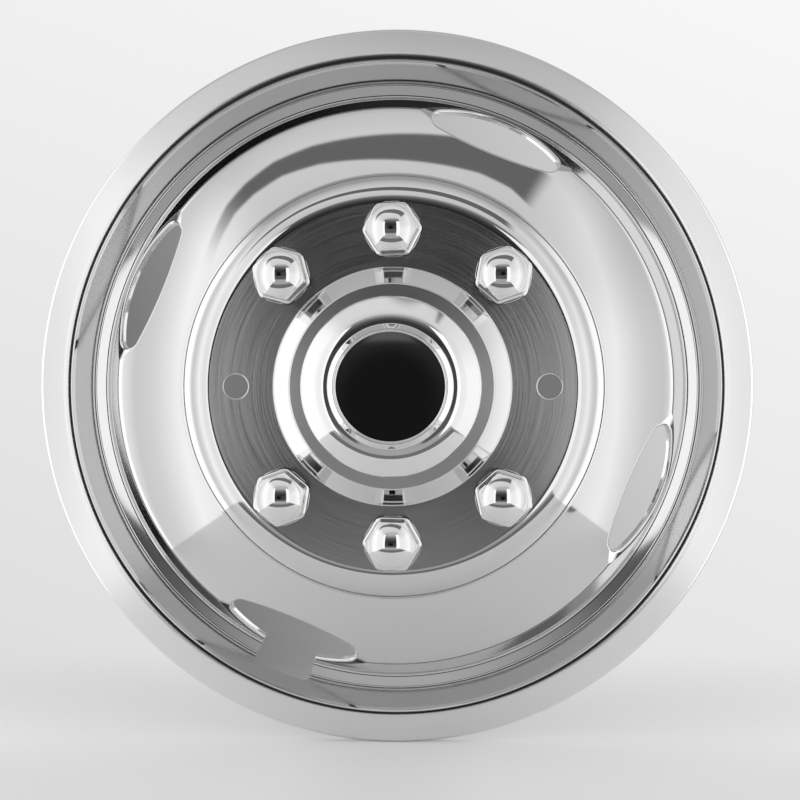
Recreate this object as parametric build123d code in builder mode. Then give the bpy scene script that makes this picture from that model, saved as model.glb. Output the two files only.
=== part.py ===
from build123d import *
import os
from math import atan, atan2, cos, hypot, radians, sin, sqrt, tan

# Front wheel simulator for a 19.5 inch truck wheel, in polished stainless sheet.
# The wheel's axis is Y, the outboard face looks along -Y, and Z is up.
# The origin is the centre of the bolt circle, on the back face of the bolt disc.
# Profiles are drawn as (radius, height), with heights outboard of the disc's front face.

# Bolt disc
sheet = 0.95
bolt_circle_d = 225.0
stud_count = 8
mount_studs = (0, 4)
mount_hole_d = 17.5
hub_land = 5.3
rim_land = 1.4

# Hub collar, from the disc inwards
collar_cone_width = 15.3
collar_rise = 10.5
collar_ledge_width = 7.8
collar_ledge_rise = 0.9
collar_edge_round = 2.5
collar_foot_round = 3.0

# Rolled step round the disc
step_width = 19.1
step_drop = 12.4
step_roll_run = 10.4
step_foot_round = 1.8

# Dome, and the steep wall at its shoulder
dome_width = 49.8
dome_drop = 20.1
dome_crown = 2.5
dome_round_share = 0.85
dome_edge_round = 3.0
wall_width = 10.6
wall_drop = 19.5
trough_round = 2.4

# Valley bead, rim band and outer lip
bead_flank_width = 9.1
bead_height = 3.4
bead_round = 1.3
bead_foot_width = 2.2
bead_foot_drop = 2.4
bead_foot_round = 0.9
band_width = 14.3
band_rise = 15.4
rim_crest_round = 6.5
lip_top_width = 12.4
lip_top_drop = 3.2
lip_side_width = 8.4
lip_side_drop = 4.8
lip_side_round = 32.0
lip_edge_width = 3.2
lip_edge_drop = 4.8
lip_edge_round = 13.0

# Hand holes, in flat pads pressed into the dome's shoulder
hand_hole_count = 4
hand_hole_start = 67.5
pad_top_width = 24.6
pad_foot_rise = 2.3
pad_edge_round = 4.0
hole_length = 98.0
hole_top_land = 8.2
hole_foot_land = 2.8
hole_top_curve = 200.0
hole_corner = 8.5
hole_lip_round = 2.0
hole_lip_depth = 4.4

# Notch for the valve stem, cut outwards from one hand hole
notch_hole = 2
notch_turn = 0.6
notch_angle = 11.0
notch_past_trough = 14.6
notch_corner = 4.0

# Lug nut covers
cover_sheet = 0.7
cover_width = 33.0
cover_corner = 2.6
cover_shoulder = 18.5
cover_chamfer = 2.6
cover_dome_inset = 0.7
cover_dome_height = 15.0
cover_flange = 1.3
cover_flange_reach = 3.5
cover_flange_round = 16.0
cover_flange_edge = 0.5
cover_foot_round = 1.1
cover_neck_step = 0.3
cover_neck_clearance = 0.1
cover_roll_width = 2.4
cover_turns = (19.0, 2.4, 45.0, 20.0, 58.5, 42.5)

# Hub cap
cap_sheet = 0.8
cap_clearance = 0.6
cap_flange_width = 6.0
cap_flange_bend = 0.4
cap_height = 34.0
cap_shoulder_width = 18.4
cap_shoulder_drop = 6.7
cap_shoulder_round = 14.0
cap_crease_round = 1.0
cap_lip_flank = 1.6
cap_lip_width = 3.2
cap_lip_height = 3.4
cap_lip_round = 1.4
cap_dish_flank = 1.8
cap_dish_depth = 4.6
cap_dish_round = 2.2
cap_dish_sag = 1.2
cap_dish_share = 0.8

# Room that a cutting solid needs past the faces that it cuts
cut_room = 10.0

# Radii and heights along the liner's front face, worked out from the bolt circle
hex_reach = 1 / cos(radians(30))
bolt_r = bolt_circle_d / 2
cover_flange_width = cover_width + 2 * cover_flange_reach
cover_flange_r = cover_flange_width / 2 * hex_reach - cover_flange_round * (hex_reach - 1)
cover_neck_r = cover_width / 2 + cover_neck_step
collar_foot_r = bolt_r - cover_flange_r - hub_land
collar_edge_r = collar_foot_r - collar_cone_width
bore_r = collar_edge_r - collar_ledge_width
bore_h = collar_rise + collar_ledge_rise
ledge_fall = collar_ledge_rise / collar_ledge_width
flat_r = bolt_r + cover_flange_r + rim_land
step_r = flat_r + step_width
dome_edge_r = step_r + dome_width
dome_edge_h = -step_drop - dome_drop
trough_r = dome_edge_r + wall_width
trough_h = dome_edge_h - wall_drop
bead_r = trough_r + bead_flank_width
bead_h = trough_h + bead_height
band_foot_r = bead_r + bead_foot_width
band_foot_h = bead_h - bead_foot_drop
rim_crest_r = band_foot_r + band_width
rim_crest_h = band_foot_h + band_rise
lip_side_r = rim_crest_r + lip_top_width
lip_side_h = rim_crest_h - lip_top_drop
lip_edge_r = lip_side_r + lip_side_width
lip_edge_h = lip_side_h - lip_side_drop
outer_r = lip_edge_r + lip_edge_width
outer_h = lip_edge_h - lip_edge_drop
base_h = trough_h - cut_room

# Rounds that follow from the runs that they fill
step_slope = atan2(step_drop, step_width - step_roll_run)
step_roll = step_roll_run / tan(step_slope / 2)
dome_chord = hypot(dome_width, dome_drop)
dome_round = dome_round_share * dome_chord / 2 / tan(atan(2 * dome_crown / dome_chord))
crown_r = step_r + dome_width / 2 + dome_crown * dome_drop / dome_chord
crown_h = -step_drop - dome_drop / 2 + dome_crown * dome_width / dome_chord

# The liner's front face as one line of straights and tangent arcs, and its back face beside it
front_line = FilletPolyline(
    (bore_r, bore_h),
    (collar_edge_r, collar_rise),
    (collar_foot_r, 0),
    (flat_r + step_roll_run, 0),
    (step_r, -step_drop),
    (crown_r, crown_h),
    (dome_edge_r, dome_edge_h),
    (trough_r, trough_h),
    (bead_r, bead_h),
    (band_foot_r, band_foot_h),
    (rim_crest_r, rim_crest_h),
    (lip_side_r, lip_side_h),
    (lip_edge_r, lip_edge_h),
    (outer_r, outer_h),
    radius=[
        collar_edge_round,
        collar_foot_round,
        step_roll,
        step_foot_round,
        dome_round,
        dome_edge_round,
        trough_round,
        bead_round,
        bead_foot_round,
        rim_crest_round,
        lip_side_round,
        lip_edge_round,
    ],
)
back_line = front_line.offset_2d(sheet, side=Side.RIGHT, closed=False)

# Pads of the hand holes: a plane from the dome down to the foot of the wall
pad_top_r = dome_edge_r - pad_top_width
pad_top_h = dome_edge_h + pad_top_width * (crown_h - dome_edge_h) / (dome_edge_r - crown_r)
pad_foot_r = trough_r - pad_foot_rise * wall_width / wall_drop
pad_foot_h = trough_h + pad_foot_rise
pad_slope = hypot(pad_foot_r - pad_top_r, pad_top_h - pad_foot_h)
pad_tilt = atan2(pad_top_h - pad_foot_h, pad_foot_r - pad_top_r)
hand_hole_angles = [hand_hole_start + 360 / hand_hole_count * i for i in range(hand_hole_count)]

# Outline of a hand hole: two bows that meet in round corners
hole_top = -hole_top_land
hole_foot = hole_foot_land - pad_slope
corner_x = hole_length / 2 - hole_corner
corner_y = hole_top - hole_top_curve + sqrt((hole_top_curve - hole_corner) ** 2 - corner_x**2)
corner_rise = corner_y - hole_foot
hole_foot_curve = (corner_rise**2 + corner_x**2 - hole_corner**2) / (2 * (corner_rise - hole_corner))

# Profiles are drawn on this plane, where x is the radius and y the height
profile_plane = Plane(origin=(0, -sheet, 0), x_dir=(1, 0, 0), z_dir=(0, 0, -1))
disc_plane = Plane.XZ

# The hub cap's front face, from the axis out to the flange behind the collar's ledge
cap_r = bore_r - cap_clearance
cap_seat_h = bore_h + cap_clearance * ledge_fall - sheet * hypot(1, ledge_fall)
crease_r = cap_r - cap_shoulder_width
cap_lip_r = crease_r - cap_lip_flank
dish_lip_r = cap_lip_r - cap_lip_width
dish_r = dish_lip_r - cap_dish_flank
cap_lip_h = cap_height + cap_lip_height
dish_edge_h = cap_lip_h - cap_dish_depth
dish_h = dish_edge_h - cap_dish_sag
dish_curve = cap_dish_share * dish_r / 2 / tan(atan2(cap_dish_sag, dish_r / 2) / 2)
cap_line = FilletPolyline(
    (0, dish_h),
    (dish_r / 2, dish_h),
    (dish_r, dish_edge_h),
    (dish_lip_r, cap_lip_h),
    (cap_lip_r, cap_lip_h),
    (crease_r, cap_height),
    (cap_r, cap_height - cap_shoulder_drop),
    (cap_r, cap_seat_h),
    (cap_r + cap_flange_width, cap_seat_h - cap_flange_width * ledge_fall),
    radius=[
        dish_curve,
        cap_dish_round,
        cap_lip_round,
        cap_lip_round,
        cap_crease_round,
        cap_shoulder_round,
        cap_flange_bend,
    ],
)

notch_r = trough_r + notch_past_trough
notch_middle = hand_hole_angles[notch_hole] + notch_turn

stud_angles = [360 / stud_count * i for i in range(stud_count)]
cover_angles = [stud_angles[i] for i in range(stud_count) if i not in mount_studs]
mount_angles = [stud_angles[i] for i in mount_studs]

os.makedirs("parts", exist_ok=True)


def around(radius, angle):
    """A point of the front view, at a radius and an angle from +X towards +Z."""
    return (radius * cos(radians(angle)), radius * sin(radians(angle)))


def pad_plane(angle):
    """A pad's plane at its top edge: x runs round the wheel, y up the slope, z out of the pad."""
    out_x, out_z = around(1, angle)
    top = (pad_top_r * out_x, -sheet - pad_top_h, pad_top_r * out_z)
    outward = (sin(pad_tilt) * out_x, -cos(pad_tilt), sin(pad_tilt) * out_z)
    return Plane(origin=top, x_dir=(-out_z, 0, out_x), z_dir=outward)


def pad_cut(plane):
    """What a pad takes off the dome's shoulder, as far out as the valley."""
    with BuildPart() as cut:
        with BuildSketch(plane):
            Rectangle(2 * dome_edge_r, 2 * pad_slope)
        extrude(amount=pad_slope)
        with BuildSketch(disc_plane.offset(sheet)):
            Circle(trough_r)
        extrude(amount=base_h, mode=Mode.INTERSECT)
    return cut.part


def lies_at(plane, height):
    """A test for edges that lie flat at one height over a plane."""
    return lambda edge: all(abs(plane.to_local_coords(edge @ t).Z - height) < 1e-3 for t in (0, 0.5, 1))


def hand_hole_outline(plane, grow):
    """A hand hole's outline on its pad, grown by the thickness of its turned-in lip."""
    with BuildSketch(plane) as outline:
        with Locations((0, hole_top - hole_top_curve)):
            Circle(hole_top_curve + grow)
        with Locations((0, hole_foot + hole_foot_curve)):
            Circle(hole_foot_curve + grow, mode=Mode.INTERSECT)
        fillet(outline.vertices(), hole_corner + grow)
    return outline.sketch


# Space under the liner's back face
with BuildPart() as liner_hollow:
    with BuildSketch(profile_plane):
        with BuildLine():
            add(back_line)
            Polyline(
                back_line @ 1,
                (outer_r + cut_room, base_h - cut_room),
                (bore_r - cut_room, base_h - cut_room),
                (bore_r - cut_room, bore_h - sheet),
                back_line @ 0,
            )
        make_face()
    revolve(axis=Axis.Y)
    for angle in hand_hole_angles:
        pad_back = pad_plane(angle).offset(-sheet)
        add(pad_cut(pad_back), mode=Mode.SUBTRACT)
        fillet(edges(Select.LAST).filter_by(lies_at(pad_back, 0)), pad_edge_round - sheet)

# The liner: one stamping from the outer lip to the hub collar
with BuildPart() as wheel_liner:
    with BuildSketch(profile_plane):
        with BuildLine():
            add(front_line)
            Polyline(
                front_line @ 1,
                back_line @ 1,
                ((back_line @ 1).X, base_h),
                (bore_r, base_h),
                front_line @ 0,
            )
        make_face()
    revolve(axis=Axis.Y)
    for angle in hand_hole_angles:
        pad = pad_plane(angle)
        add(pad_cut(pad), mode=Mode.SUBTRACT)
        fillet(edges(Select.LAST).filter_by(lies_at(pad, 0)), pad_edge_round)
    add(liner_hollow.part, mode=Mode.SUBTRACT)
    # Hand holes with their lips turned in
    for angle in hand_hole_angles:
        pad = pad_plane(angle)
        extrude(hand_hole_outline(pad, sheet), amount=-hole_lip_depth)
        fillet(edges(Select.LAST).filter_by(lies_at(pad, -sheet)), hole_lip_round - sheet)
        extrude(hand_hole_outline(pad, 0), amount=hole_lip_depth * 2, both=True, mode=Mode.SUBTRACT)
        fillet(edges(Select.LAST).filter_by(lies_at(pad, 0)), hole_lip_round)
    # Notch for the valve stem
    with BuildSketch(disc_plane.offset(sheet + base_h)) as notch:
        with BuildLine():
            first = notch_middle - notch_angle / 2
            last = notch_middle + notch_angle / 2
            Line(around(dome_edge_r, first), around(notch_r, first))
            ThreePointArc(around(notch_r, first), around(notch_r, notch_middle), around(notch_r, last))
            Polyline(around(notch_r, last), around(dome_edge_r, last), around(dome_edge_r, first))
        make_face()
        fillet(notch.vertices().sort_by_distance((0, 0, 0))[-2:], notch_corner)
    extrude(amount=-base_h, mode=Mode.SUBTRACT)
    # Round holes in the disc, for the covers' necks and for the wheel's own studs
    with BuildSketch(disc_plane):
        with Locations(*[around(bolt_r, angle) for angle in cover_angles]):
            Circle(cover_neck_r + cover_neck_clearance)
        with Locations(*[around(bolt_r, angle) for angle in mount_angles]):
            Circle(mount_hole_d / 2)
    extrude(amount=cut_room, both=True, mode=Mode.SUBTRACT)
wheel_liner.part.label = "wheel_liner"
export_step(wheel_liner.part, "parts/wheel_liner.step")


def cover_plane(angle, turn):
    """A lug cover's seat on the disc's front face, turned about its own axis."""
    x, z = around(bolt_r, angle)
    turn_x, turn_z = around(1, turn)
    return Plane(origin=(x, -sheet, z), x_dir=(turn_x, 0, turn_z), z_dir=(0, -1, 0))


def cover_form(plane, skin):
    """A lug cover's hexagon, turned to a chamfered shoulder and a dome, inside a skin."""
    section_plane = Plane(origin=plane.origin, x_dir=plane.x_dir, z_dir=-plane.y_dir)
    half_width = cover_width / 2 - skin
    shoulder_r = half_width * hex_reach
    dome_r = half_width - cover_dome_inset
    dome_foot = cover_shoulder + cover_chamfer
    dome_top = dome_foot + cover_dome_height - skin
    ball_r = (dome_r**2 + (dome_top - dome_foot) ** 2) / (2 * (dome_top - dome_foot))
    half_cap = atan2(dome_r, ball_r - dome_top + dome_foot) / 2
    dome_middle = (ball_r * sin(half_cap), dome_top - ball_r + ball_r * cos(half_cap))
    with BuildPart() as form:
        with BuildSketch(plane) as hexagon:
            RegularPolygon(half_width, 6, major_radius=False)
            fillet(hexagon.vertices(), cover_corner - skin)
        extrude(amount=dome_top)
        with BuildSketch(section_plane):
            with BuildLine():
                Polyline((0, dome_top), (0, 0), (shoulder_r, 0), (shoulder_r, cover_shoulder - skin))
                Line((shoulder_r, cover_shoulder - skin), (dome_r, dome_foot))
                ThreePointArc((dome_r, dome_foot), dome_middle, (0, dome_top))
            make_face()
        revolve(axis=Axis(plane.origin, plane.z_dir), mode=Mode.INTERSECT)
    return form.part


# Lug nut covers: each stands on its flange, and its neck is rolled out behind the disc
for number, (angle, turn) in enumerate(zip(cover_angles, cover_turns), start=1):
    seat = cover_plane(angle, turn)
    with BuildPart() as lug_cover:
        with BuildSketch(seat) as flange_outline:
            RegularPolygon(cover_flange_width / 2, 6, major_radius=False)
            fillet(flange_outline.vertices(), cover_flange_round)
        extrude(amount=cover_flange)
        fillet(edges().filter_by(lies_at(seat, cover_flange)), cover_flange_edge)
        add(cover_form(seat, 0))
        fillet(edges(Select.LAST).filter_by(lies_at(seat, cover_flange)), cover_foot_round)
        with BuildSketch(seat):
            Circle(cover_neck_r)
        extrude(amount=-sheet - cover_sheet)
        with BuildSketch(seat.offset(-sheet)):
            Circle(cover_neck_r + cover_roll_width)
        extrude(amount=-cover_sheet)
        add(cover_form(seat.offset(cover_sheet), cover_sheet), mode=Mode.SUBTRACT)
        with BuildSketch(seat.offset(cover_sheet)):
            Circle(cover_neck_r - cover_sheet)
        extrude(amount=-cut_room, mode=Mode.SUBTRACT)
    lug_cover.part.label = f"lug_cover_{number}"
    export_step(lug_cover.part, f"parts/lug_cover_{number}.step")

# Hub cap: drawn from one blank, with its flange behind the collar's ledge
with BuildPart() as hub_cap:
    with BuildSketch(profile_plane):
        with BuildLine():
            add(cap_line.offset_2d(cap_sheet, side=Side.RIGHT, closed=True))
        make_face()
    revolve(axis=Axis.Y)
hub_cap.part.label = "hub_cap"
export_step(hub_cap.part, "parts/hub_cap.step")
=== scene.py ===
# %% [markdown]
# # A polished wheel simulator in a light tent
#
# A wheel simulator is a cover of thin stainless sheet that makes a plain steel truck wheel look
# polished. The CAD part is the fixed frame of this lesson. Its meshes could be shown as they are,
# but a mirror shows every flat facet. So the sheet metal is drawn again here with exact normals.
# Then it gets its finish, a tent to reflect, and a camera.

# %% Load the frame
from bisect import bisect_right
from functools import partial, reduce
from math import atan2, ceil, cos, degrees, hypot, pi, radians, sin, sqrt, tan

import bpy
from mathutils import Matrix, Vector
from mathutils.geometry import delaunay_2d_cdt


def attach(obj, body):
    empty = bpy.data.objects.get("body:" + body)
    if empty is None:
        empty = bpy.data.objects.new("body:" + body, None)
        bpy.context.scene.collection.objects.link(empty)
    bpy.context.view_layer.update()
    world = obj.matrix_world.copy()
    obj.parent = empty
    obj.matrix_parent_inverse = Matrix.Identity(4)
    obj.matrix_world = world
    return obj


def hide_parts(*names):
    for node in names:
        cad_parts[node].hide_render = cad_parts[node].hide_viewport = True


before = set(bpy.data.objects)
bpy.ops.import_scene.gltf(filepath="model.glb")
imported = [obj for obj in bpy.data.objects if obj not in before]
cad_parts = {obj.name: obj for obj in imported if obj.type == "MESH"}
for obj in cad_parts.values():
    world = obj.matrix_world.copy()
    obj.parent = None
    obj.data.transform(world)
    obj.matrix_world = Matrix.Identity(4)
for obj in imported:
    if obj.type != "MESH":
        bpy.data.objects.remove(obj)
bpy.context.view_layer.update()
print("CAD nodes:", sorted(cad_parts))

# %% [markdown]
# ## Sizes
#
# The liner is one pressing, and most of it is round, so one line from the bore to the outer edge
# describes it. It is written as runs: each is a step along the line, and ends in a corner that has
# a round of its own. That keeps every size readable and easy to change. Lengths are in millimetres,
# as in the CAD source. Profiles are (radius, height), with heights outboard of the disc's front
# face.

# %% Sizes of the liner
MM = 0.001
sheet = 0.95
bolt_r = 112.5
mount_hole_r = 8.75
cover_hole_r = 16.9
dome_width = 49.8
dome_drop = 20.1
dome_crown = 2.5
dome_chord = hypot(dome_width, dome_drop)
crown_run = dome_width / 2 + dome_crown * dome_drop / dome_chord
crown_drop = dome_drop / 2 - dome_crown * dome_width / dome_chord
dome_round = 0.85 * dome_chord**2 / (4 * dome_crown)

bore = (64.481, 11.0)
liner_runs = [
    ("collar ledge", 8.8, -0.5, 2.5),
    ("collar cone", 12.0, -10.5, 2.0),
    ("bolt disc", 59.638, 0.0, 25.0),
    ("step", 8.7, -12.4, 1.8),
    ("dome, upper half", crown_run, -crown_drop, dome_round),
    ("dome, lower half", dome_width - crown_run, crown_drop - dome_drop, 4.5),
    ("wall", 10.6, -19.5, 2.4),
    ("bead flank", 9.1, 3.4, 1.3),
    ("bead foot", 2.2, -2.4, 0.9),
    ("rim band", 13.3, 15.4, 3.0),
    ("lip crest", 4.2, 0.5, 15.0),
    ("lip top", 18.4, -3.65, 2.0),
    ("lip side", 1.0, -2.6, 2.0),
    ("lip edge", 1.4, -7.05, 0.0),
]


def corners_of(start, runs):
    """The corners that a list of runs passes, each with its round."""
    corners = [(start[0], start[1], 0.0)]
    for _, out, rise, corner_round in runs:
        r, h, _ = corners[-1]
        corners.append((r + out, h + rise, corner_round))
    return corners


liner_corners = corners_of(bore, liner_runs)
step_r = liner_corners[4][0]
dome_edge_r, dome_edge_h, _ = liner_corners[6]
trough_r, trough_h, _ = liner_corners[7]
outer_r = liner_corners[-1][0]
print("Liner's radius", round(outer_r, 2), "mm, depth", round(liner_corners[0][1] - trough_h, 2), "mm")

# %% [markdown]
# ## A line with its normals
#
# On the real cover every bend is a smooth roll. A Screw modifier could turn the line round the
# axis, but its normals come from the facets, and a mirror shows those as ripples. `trace` walks
# along the corners instead, and returns points with the direction that the sheet faces there. Arcs
# bring exact normals, so a few points are enough.

# %% Trace a profile


def turned(vector, angle):
    """A flat vector turned to the left by an angle."""
    x = vector.x * cos(angle) - vector.y * sin(angle)
    y = vector.x * sin(angle) + vector.y * cos(angle)
    return Vector((x, y))


def trace(corners, step, turn_step):
    """Samples (r, h, normal r, normal h) along straights and the tangent arcs at their corners."""
    samples = []
    start = Vector(corners[0][:2])
    for i in range(1, len(corners)):
        corner = Vector(corners[i][:2])
        ahead = (corner - start).normalized()
        end = corner
        turn = 0.0
        if i + 1 < len(corners):
            leave = (Vector(corners[i + 1][:2]) - corner).normalized()
            turn = atan2(ahead.x * leave.y - ahead.y * leave.x, ahead.dot(leave))
            cut = corners[i][2] * tan(abs(turn) / 2)
            end = corner - ahead * cut
        count = max(1, ceil((end - start).length / step))
        for k in range(count + 1):
            point = start.lerp(end, k / count)
            samples.append((point.x, point.y, -ahead.y, ahead.x))
        if turn:
            to_centre = turned(ahead, pi / 2) * corners[i][2] * (1 if turn > 0 else -1)
            by_turn = ceil(degrees(abs(turn)) / turn_step)
            by_length = ceil(corners[i][2] * abs(turn) / step)
            count = max(2, by_turn, by_length)
            for k in range(1, count):
                swing = turn * k / count
                point = end + to_centre - turned(to_centre, swing)
                heading = turned(ahead, swing)
                samples.append((point.x, point.y, -heading.y, heading.x))
            start = corner + leave * cut
    return samples


front_table = trace(liner_corners, 0.2, 0.5)
front_radii = [sample[0] for sample in front_table]


def front_at(r):
    """Height and normal of the liner's front face at a radius."""
    k = min(max(bisect_right(front_radii, r), 1), len(front_radii) - 1)
    before, after = front_table[k - 1], front_table[k]
    share = (r - before[0]) / (after[0] - before[0])
    return [a + (b - a) * share for a, b in zip(before[1:], after[1:])]


print("Front face:", len(front_table), "samples")
print("Height and normal at the dome's edge:", [round(v, 3) for v in front_at(dome_edge_r)])

# %% [markdown]
# ## Sheet metal from a skin
#
# The wheel's axis is Y, and outboard is towards minus Y. Two small functions take a radius, a
# height and an angle to Blender's axes and metres, so that the rest of the lesson can think in
# terms of a wheel.

# %% Places on the wheel


def wheel_point(r, h, angle):
    return Vector((r * cos(angle), -sheet - h, r * sin(angle))) * MM


def wheel_normal(nr, nh, angle):
    return Vector((nr * cos(angle), -nh, nr * sin(angle)))


print("The bore's edge lies at", [round(v, 4) for v in wheel_point(*bore, 0)], "m")

# %% [markdown]
# A skin is the outboard side of a sheet: points, normals and faces. A Solidify modifier could
# thicken it, but would work out new normals. `thicken` adds the back face and closes every free
# edge itself, so holes and notches get their cut edges without more work.

# %% A skin and its thickness


class Skin:
    """The outboard side of a sheet. A face may be flat, with one normal of its own."""

    def __init__(self):
        self.points = []
        self.normals = []
        self.faces = []
        self.flat = {}

    def add(self, point, normal):
        self.points.append(point)
        self.normals.append(normal.normalized())
        return len(self.points) - 1

    def face(self, corners, flat=None):
        if flat:
            self.flat[len(self.faces)] = flat
        self.faces.append(tuple(corners))

    def strip(self, inner, outer, skip=()):
        """Joins two closed rows that run the same way, counter-clockwise in the front view."""
        count = len(inner)
        for i in range(count):
            j = (i + 1) % count
            corners = [inner[i], outer[i], outer[j], inner[j]]
            if i not in skip and len(set(corners)) > 2:
                self.face(dict.fromkeys(corners))


def thicken(skin, thickness):
    """Points, faces and corner normals of a sheet whose front is the skin."""
    count = len(skin.points)
    points = skin.points + [p - n * thickness * MM for p, n in zip(skin.points, skin.normals)]
    fronts = [[skin.flat.get(k, skin.normals[i]) for i in face] for k, face in enumerate(skin.faces)]
    backs = [tuple(i + count for i in reversed(face)) for face in skin.faces]
    back_normals = [[-n for n in reversed(normals)] for normals in fronts]
    edges = {(a, b) for face in skin.faces for a, b in zip(face, face[1:] + face[:1])}
    rims = [(b, a, a + count, b + count) for a, b in sorted(edges) if (b, a) not in edges]
    rim_normals = []
    for face in rims:
        across = (points[face[2]] - points[face[0]]).cross(points[face[3]] - points[face[1]])
        rim_normals.append([across.normalized()] * 4)
    return points, skin.faces + backs + rims, fronts + back_normals + rim_normals


square = Skin()
square.face(square.add(Vector((x, 0, z)), Vector((0, -1, 0))) for x, z in ((0, 0), (1, 0), (1, 1), (0, 1)))
print("A square of sheet has", len(thicken(square, sheet)[1]), "faces: front, back and four edges")

# %% [markdown]
# Blender would smooth a mesh by averaging its faces. Here each corner of each face gets its own
# normal instead. That is what keeps the reflections smooth on the rounds and the edges sharp where
# the sheet is cut.

# %% Meshes


def make_mesh(name, *parts):
    """One mesh from several lists of points, faces and corner normals."""
    points = []
    faces = []
    normals = []
    for part_points, part_faces, part_normals in parts:
        base = len(points)
        points += part_points
        faces += [tuple(i + base for i in face) for face in part_faces]
        normals += [n for corner in part_normals for n in corner]
    mesh = bpy.data.meshes.new(name)
    mesh.from_pydata(points, [], faces)
    mesh.shade_smooth()
    mesh.normals_split_custom_set(normals)
    mesh.update()
    return mesh


def show(mesh):
    """Puts a mesh into the scene, at the origin."""
    thing = bpy.data.objects.new(mesh.name, mesh)
    bpy.context.scene.collection.objects.link(thing)
    triangles = sum(len(polygon.vertices) - 2 for polygon in mesh.polygons)
    print(mesh.name, "has", triangles, "triangles")
    return thing


trial = make_mesh("trial", thicken(square, sheet))
print("Its mesh keeps custom normals:", trial.has_custom_normals)
bpy.data.meshes.remove(trial)

# %% [markdown]
# ## Pads and hand holes
#
# Four hand holes let air to the brakes. On the real cover each sits in a pad that is pressed flat
# across the dome's shoulder. A Boolean cut could make it, but leaves ragged triangles along its
# edge. So the edge is worked out: seen from the front the pad is a lens, and `lens` finds the two
# radii where it meets the dome and the wall.

# %% Where a pad meets the dome
pad_reach = 21.0
pad_foot_rise = 2.3
_, wall_out, wall_rise, _ = liner_runs[6]
pad_top_r = dome_edge_r - pad_reach
pad_top_h = dome_edge_h + pad_reach * (dome_drop - crown_drop) / (dome_width - crown_run)
pad_foot_r = trough_r + pad_foot_rise * wall_out / wall_rise
pad_foot_h = trough_h + pad_foot_rise
pad_tilt = atan2(pad_top_h - pad_foot_h, pad_foot_r - pad_top_r)
pad_slope = hypot(pad_foot_r - pad_top_r, pad_top_h - pad_foot_h)
pad_middles = [radians(67.5 + 90 * k) for k in range(4)]


def over_pad(r, turn):
    """How far the dome stands over a pad's plane, at an angle from the pad's middle."""
    return front_at(r)[0] - pad_top_h + (r * cos(turn) - pad_top_r) * tan(pad_tilt)


def peak_radius(turn):
    return max((dome_edge_r - 12 + 0.25 * k for k in range(70)), key=lambda r: over_pad(r, turn))


def crossing(test, low, high):
    """Where a test turns from negative at low to positive at high."""
    for _ in range(40):
        middle = (low + high) / 2
        if test(middle) < 0:
            low = middle
        else:
            high = middle
    return (low + high) / 2


def lens(turn):
    """The two radii of a pad's edge at an angle from its middle."""
    peak = peak_radius(turn)
    upper = crossing(lambda r: over_pad(r, turn), step_r + 4, peak)
    lower = crossing(lambda r: over_pad(r, turn), trough_r + 0.4, peak)
    return upper, lower


tip_turn = crossing(lambda turn: -over_pad(peak_radius(turn), turn), radians(10), radians(25))
shoulder_r = peak_radius(tip_turn)
print("Pad edge at its middle:", [round(r, 2) for r in lens(0)], "mm")
print("Tips of a pad:", round(degrees(tip_turn), 2), "degrees from its middle")

# %% [markdown]
# A hole's outline is four arcs, and the valve's notch cuts its foot bow in three. A curve object
# could draw it, but here each arc keeps its centre, so that the outline can grow by the radius of
# the turned-in lip without losing its shape. The two samples named `notch_ends` lie on the notch's
# sides.

# %% Outline of a hand hole
hole_half = 49.0
hole_top = -3.4
hole_foot = 2.8 - pad_slope
hole_corner = 8.5
top_curve = 200.0
corner_x = hole_half - hole_corner
corner_y = hole_top - top_curve + sqrt((top_curve - hole_corner) ** 2 - corner_x**2)
corner_rise = corner_y - hole_foot
foot_curve = (corner_rise**2 + corner_x**2 - hole_corner**2) / (2 * (corner_rise - hole_corner))
lip_round = 2.0
lip_depth = 4.4
notch_pad = 2
notch_r = trough_r + 14.6
notch_round = 4.0
notch_aside = 0.6
notch_half = 5.5
notch_turns = (radians(notch_aside - notch_half), radians(notch_aside + notch_half))
arc_counts = (14, 26, 14, 10, 12, 10)
notch_ends = (sum(arc_counts[:4]), sum(arc_counts[:5]))


def pad_point(pad, x, y, depth):
    """A point over a pad: x runs round the wheel, y up the slope, and depth goes down from its plane."""
    r = pad_top_r - y * cos(pad_tilt) - depth * sin(pad_tilt)
    h = pad_top_h + y * sin(pad_tilt) - depth * cos(pad_tilt)
    angle = pad_middles[pad]
    return Vector((r * cos(angle) - x * sin(angle), -sheet - h, r * sin(angle) + x * cos(angle))) * MM


def pad_normal(pad):
    return wheel_normal(sin(pad_tilt), cos(pad_tilt), pad_middles[pad])


def foot_angle(turn, grow, depth):
    """Where the foot bow of a grown outline crosses a side of the notch."""
    radius = foot_curve + grow

    def beside(angle):
        y = hole_foot + foot_curve + radius * sin(angle)
        r = pad_top_r - y * cos(pad_tilt) - depth * sin(pad_tilt)
        return radius * cos(angle) - r * tan(turn)

    return crossing(beside, radians(225), radians(315))


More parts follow.
